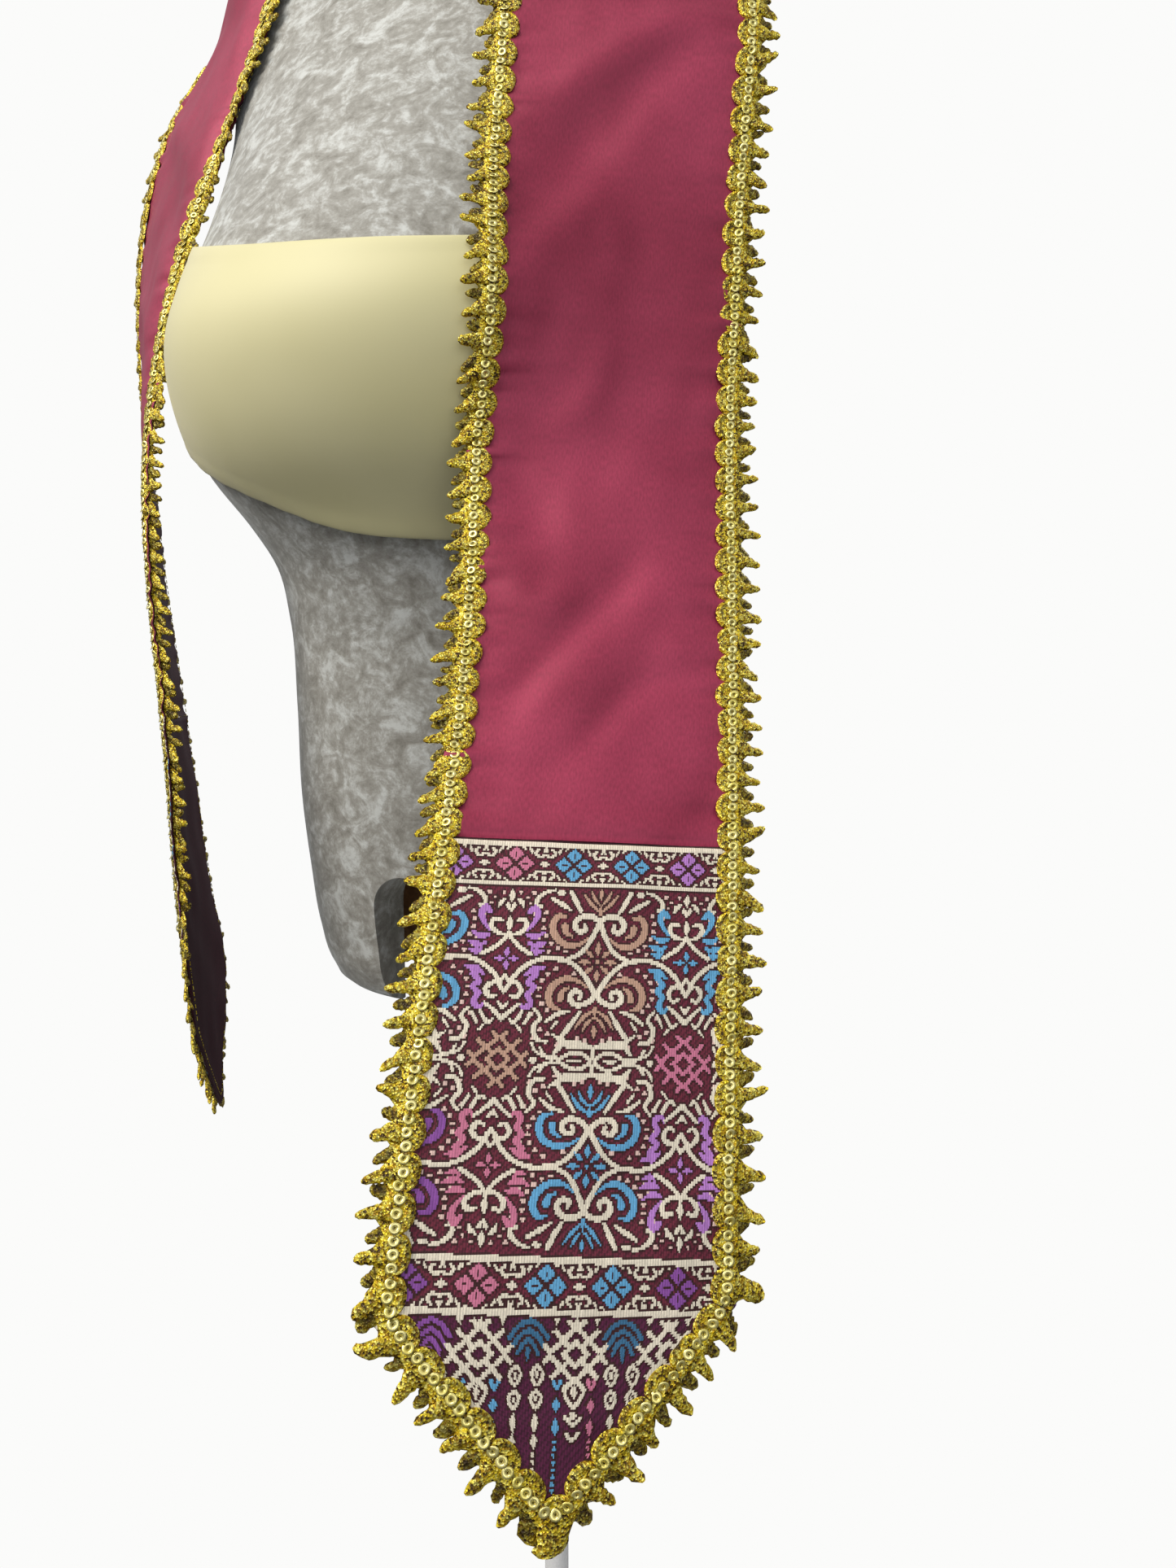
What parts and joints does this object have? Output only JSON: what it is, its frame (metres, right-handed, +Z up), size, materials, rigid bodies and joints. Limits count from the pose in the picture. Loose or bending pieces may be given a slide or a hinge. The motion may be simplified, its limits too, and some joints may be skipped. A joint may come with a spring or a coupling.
{
  "type": "graduation stole on a limbless dress form",
  "caption": "Maroon satin graduation stole with brocade pointed ends and gold sequin trim, draped over a velvet dress form on a stand.",
  "frame": {"origin": "centre of the stand base's underside", "axes": "+Z up, the form faces -Y, the wearer's left is +X"},
  "size_m": [0.4655, 0.452, 1.52],
  "materials": {
    "maroon_satin": "heavy polyester satin with a soft broad sheen",
    "brocade": "jacquard brocade, matt cream and coloured floats on a maroon ground",
    "gold_trim": "gold lurex cord edging with a line of pale gold sequins",
    "grey_velvet": "crushed ice velvet, mottled pile",
    "cream_jersey": "smooth stretched matt jersey",
    "painted_steel": "pale powder coat"
  },
  "bodies": {
    "root": {"satin_left": "maroon_satin", "satin_right": "maroon_satin", "brocade_left": "brocade", "brocade_right": "brocade", "trim_left_inner": "gold_trim", "trim_left_point": "gold_trim", "trim_left_outer": "gold_trim", "trim_right_inner": "gold_trim", "trim_right_point": "gold_trim", "trim_right_outer": "gold_trim", "form_torso": "grey_velvet", "form_bust_cover": "cream_jersey", "stand_base": "painted_steel", "stand_pole": "painted_steel", "stand_socket": "painted_steel"}
  },
  "joints": []
}
